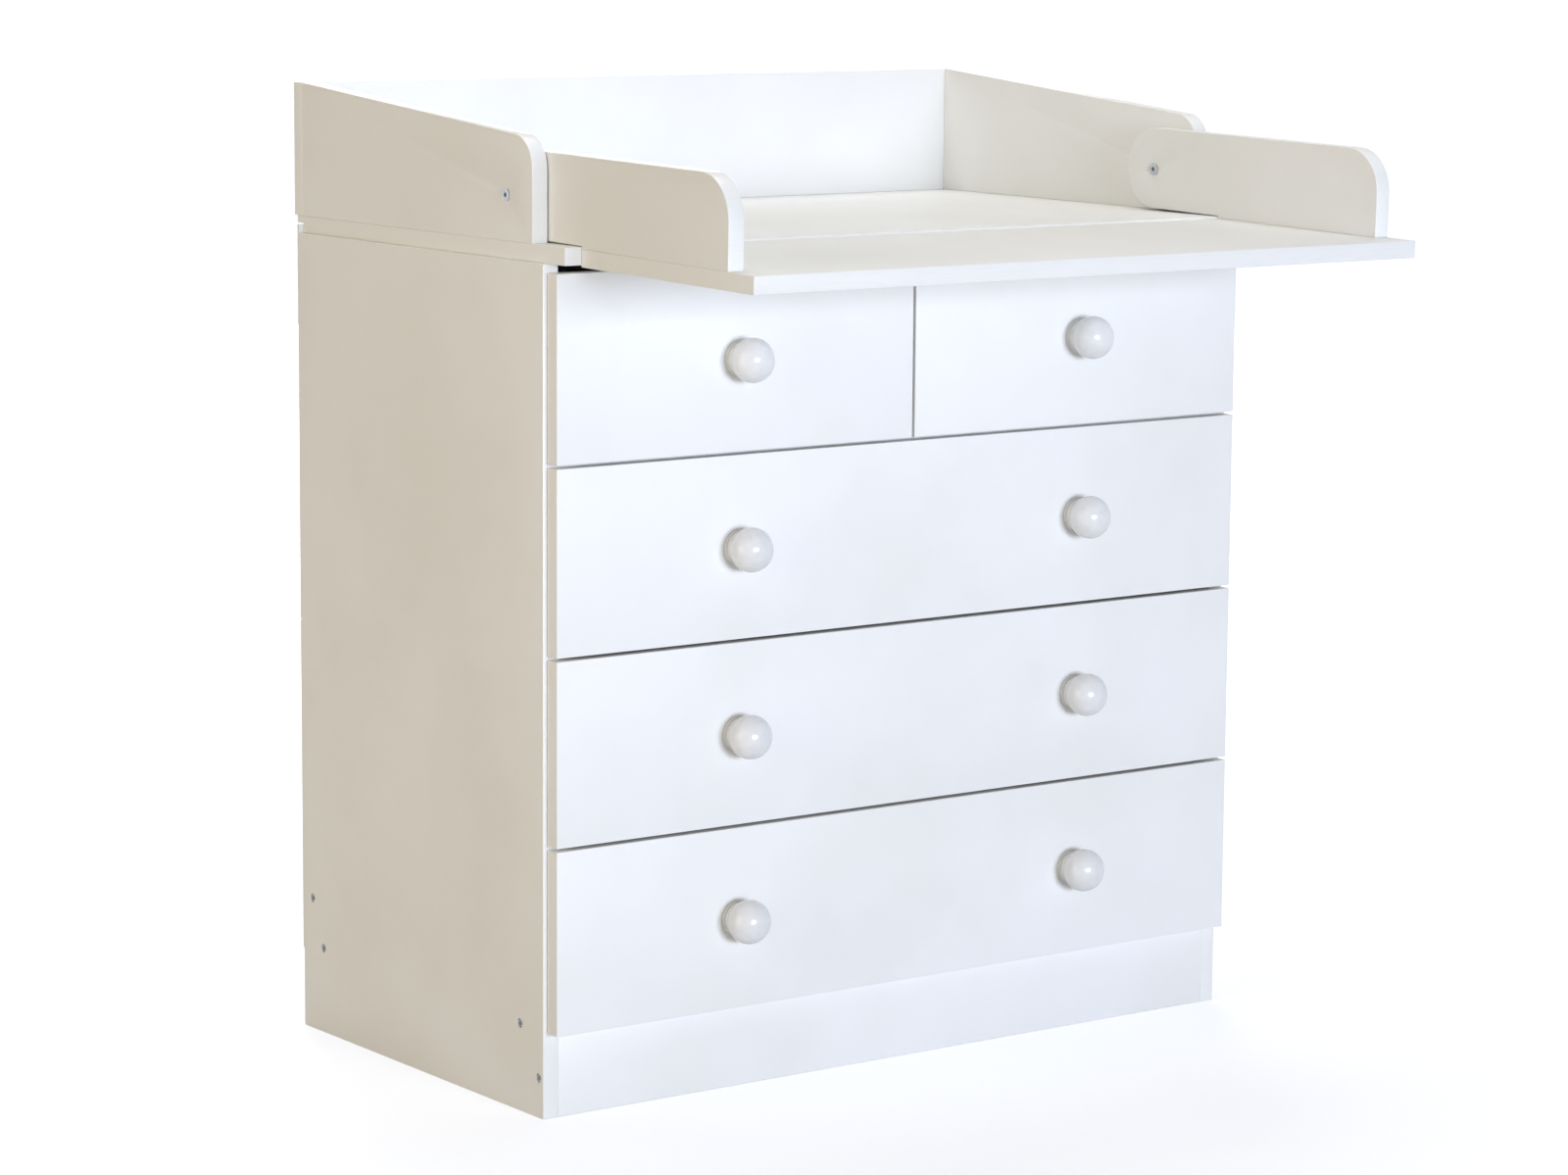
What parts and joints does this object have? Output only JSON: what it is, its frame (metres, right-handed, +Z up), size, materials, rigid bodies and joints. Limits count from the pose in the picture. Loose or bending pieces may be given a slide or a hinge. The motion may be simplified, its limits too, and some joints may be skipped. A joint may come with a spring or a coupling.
{
  "type": "changing dresser",
  "caption": "Chest of drawers with a changing tray on top, whose front board folds out on pivots to deepen it; the drawers run on roller runners.",
  "frame": {"origin": "on the floor, in the middle of the width and of the whole depth with the front board folded out", "axes": "+Z up, +Y to the back, +X to the right as seen from the front"},
  "size_m": [0.8, 0.7264, 0.914],
  "materials": {
    "white_melamine_board": "satin",
    "white_hardboard": "satin",
    "white_gloss_knob": "gloss",
    "white_runner_steel": "satin",
    "zinc_plated_steel": "satin",
    "white_nylon": "satin",
    "white_plastic": "satin"
  },
  "bodies": {
    "chest": {"back_joiner": "white_plastic", "bottom_panel": "white_melamine_board", "centre_divider": "white_melamine_board", "chest_runners": "white_runner_steel", "left_side_panel": "white_melamine_board", "left_tray_side": "white_melamine_board", "lower_back_sheet": "white_hardboard", "middle_shelf": "white_melamine_board", "pivot_bolts": "zinc_plated_steel", "pivot_washers": "zinc_plated_steel", "plinth_board": "white_melamine_board", "rear_rail": "white_melamine_board", "right_side_panel": "white_melamine_board", "right_tray_side": "white_melamine_board", "top_panel": "white_melamine_board", "tray_back_board": "white_melamine_board", "upper_back_sheet": "white_hardboard"},
    "folding_board": {"flap_board": "white_melamine_board", "left_flap_side": "white_melamine_board", "right_flap_side": "white_melamine_board"},
    "lower_drawer": {"lower_drawer_bottom": "white_hardboard", "lower_drawer_box_back": "white_melamine_board", "lower_drawer_box_sides": "white_melamine_board", "lower_drawer_front": "white_melamine_board", "lower_drawer_knobs": "white_gloss_knob", "lower_drawer_runners": "white_runner_steel"},
    "middle_drawer": {"middle_drawer_bottom": "white_hardboard", "middle_drawer_box_back": "white_melamine_board", "middle_drawer_box_sides": "white_melamine_board", "middle_drawer_front": "white_melamine_board", "middle_drawer_knobs": "white_gloss_knob", "middle_drawer_runners": "white_runner_steel"},
    "upper_drawer": {"upper_drawer_bottom": "white_hardboard", "upper_drawer_box_back": "white_melamine_board", "upper_drawer_box_sides": "white_melamine_board", "upper_drawer_front": "white_melamine_board", "upper_drawer_knobs": "white_gloss_knob", "upper_drawer_runners": "white_runner_steel"},
    "small_left_drawer": {"small_left_drawer_bottom": "white_hardboard", "small_left_drawer_box_back": "white_melamine_board", "small_left_drawer_box_sides": "white_melamine_board", "small_left_drawer_front": "white_melamine_board", "small_left_drawer_knob": "white_gloss_knob", "small_left_drawer_runners": "white_runner_steel"},
    "small_right_drawer": {"small_right_drawer_bottom": "white_hardboard", "small_right_drawer_box_back": "white_melamine_board", "small_right_drawer_box_sides": "white_melamine_board", "small_right_drawer_front": "white_melamine_board", "small_right_drawer_knob": "white_gloss_knob", "small_right_drawer_runners": "white_runner_steel"},
    "lower_drawer_chest_rollers": {"lower_drawer_chest_rollers": "white_nylon"},
    "lower_drawer_box_rollers": {"lower_drawer_box_rollers": "white_nylon"},
    "middle_drawer_chest_rollers": {"middle_drawer_chest_rollers": "white_nylon"},
    "middle_drawer_box_rollers": {"middle_drawer_box_rollers": "white_nylon"},
    "upper_drawer_chest_rollers": {"upper_drawer_chest_rollers": "white_nylon"},
    "upper_drawer_box_rollers": {"upper_drawer_box_rollers": "white_nylon"},
    "small_left_drawer_chest_rollers": {"small_left_drawer_chest_rollers": "white_nylon"},
    "small_left_drawer_box_rollers": {"small_left_drawer_box_rollers": "white_nylon"},
    "small_right_drawer_chest_rollers": {"small_right_drawer_chest_rollers": "white_nylon"},
    "small_right_drawer_box_rollers": {"small_right_drawer_box_rollers": "white_nylon"}
  },
  "joints": [
    {"name": "folding_board_pivot", "type": "hinge", "parent": "chest", "child": "folding_board", "pos_m": [0, -0.00979, 0.8288], "axis": [-1, 0, 0], "range_deg": [0, 181.1]},
    {"name": "lower_drawer_slide", "type": "slide", "parent": "chest", "child": "lower_drawer", "axis": [0, -1, 0], "range_m": [0, 0.255]},
    {"name": "middle_drawer_slide", "type": "slide", "parent": "chest", "child": "middle_drawer", "axis": [0, -1, 0], "range_m": [0, 0.255]},
    {"name": "upper_drawer_slide", "type": "slide", "parent": "chest", "child": "upper_drawer", "axis": [0, -1, 0], "range_m": [0, 0.255]},
    {"name": "small_left_drawer_slide", "type": "slide", "parent": "chest", "child": "small_left_drawer", "axis": [0, -1, 0], "range_m": [0, 0.255]},
    {"name": "small_right_drawer_slide", "type": "slide", "parent": "chest", "child": "small_right_drawer", "axis": [0, -1, 0], "range_m": [0, 0.255]},
    {"name": "lower_drawer_chest_roller_spin", "type": "hinge", "parent": "chest", "child": "lower_drawer_chest_rollers", "pos_m": [0, -0.0623, 0.1167], "axis": [1, 0, 0], "continuous": true},
    {"name": "lower_drawer_box_roller_spin", "type": "hinge", "parent": "lower_drawer", "child": "lower_drawer_box_rollers", "pos_m": [0, 0.2577, 0.11515], "axis": [1, 0, 0], "continuous": true},
    {"name": "middle_drawer_chest_roller_spin", "type": "hinge", "parent": "chest", "child": "middle_drawer_chest_rollers", "pos_m": [0, -0.0623, 0.28878], "axis": [1, 0, 0], "continuous": true},
    {"name": "middle_drawer_box_roller_spin", "type": "hinge", "parent": "middle_drawer", "child": "middle_drawer_box_rollers", "pos_m": [0, 0.2577, 0.28723], "axis": [1, 0, 0], "continuous": true},
    {"name": "upper_drawer_chest_roller_spin", "type": "hinge", "parent": "chest", "child": "upper_drawer_chest_rollers", "pos_m": [0, -0.0623, 0.46085], "axis": [1, 0, 0], "continuous": true},
    {"name": "upper_drawer_box_roller_spin", "type": "hinge", "parent": "upper_drawer", "child": "upper_drawer_box_rollers", "pos_m": [0, 0.2577, 0.4593], "axis": [1, 0, 0], "continuous": true},
    {"name": "small_left_drawer_chest_roller_spin", "type": "hinge", "parent": "chest", "child": "small_left_drawer_chest_rollers", "pos_m": [-0.196, -0.0623, 0.63293], "axis": [1, 0, 0], "continuous": true},
    {"name": "small_left_drawer_box_roller_spin", "type": "hinge", "parent": "small_left_drawer", "child": "small_left_drawer_box_rollers", "pos_m": [-0.196, 0.2577, 0.63138], "axis": [1, 0, 0], "continuous": true},
    {"name": "small_right_drawer_chest_roller_spin", "type": "hinge", "parent": "chest", "child": "small_right_drawer_chest_rollers", "pos_m": [0.196, -0.0623, 0.63293], "axis": [1, 0, 0], "continuous": true},
    {"name": "small_right_drawer_box_roller_spin", "type": "hinge", "parent": "small_right_drawer", "child": "small_right_drawer_box_rollers", "pos_m": [0.196, 0.2577, 0.63138], "axis": [1, 0, 0], "continuous": true}
  ],
  "couplings": [
    {"joint": "lower_drawer_chest_roller_spin", "follows": "lower_drawer_slide", "rad_per_m": 100},
    {"joint": "lower_drawer_box_roller_spin", "follows": "lower_drawer_slide", "rad_per_m": 100},
    {"joint": "middle_drawer_chest_roller_spin", "follows": "middle_drawer_slide", "rad_per_m": 100},
    {"joint": "middle_drawer_box_roller_spin", "follows": "middle_drawer_slide", "rad_per_m": 100},
    {"joint": "upper_drawer_chest_roller_spin", "follows": "upper_drawer_slide", "rad_per_m": 100},
    {"joint": "upper_drawer_box_roller_spin", "follows": "upper_drawer_slide", "rad_per_m": 100},
    {"joint": "small_left_drawer_chest_roller_spin", "follows": "small_left_drawer_slide", "rad_per_m": 100},
    {"joint": "small_left_drawer_box_roller_spin", "follows": "small_left_drawer_slide", "rad_per_m": 100},
    {"joint": "small_right_drawer_chest_roller_spin", "follows": "small_right_drawer_slide", "rad_per_m": 100},
    {"joint": "small_right_drawer_box_roller_spin", "follows": "small_right_drawer_slide", "rad_per_m": 100}
  ]
}
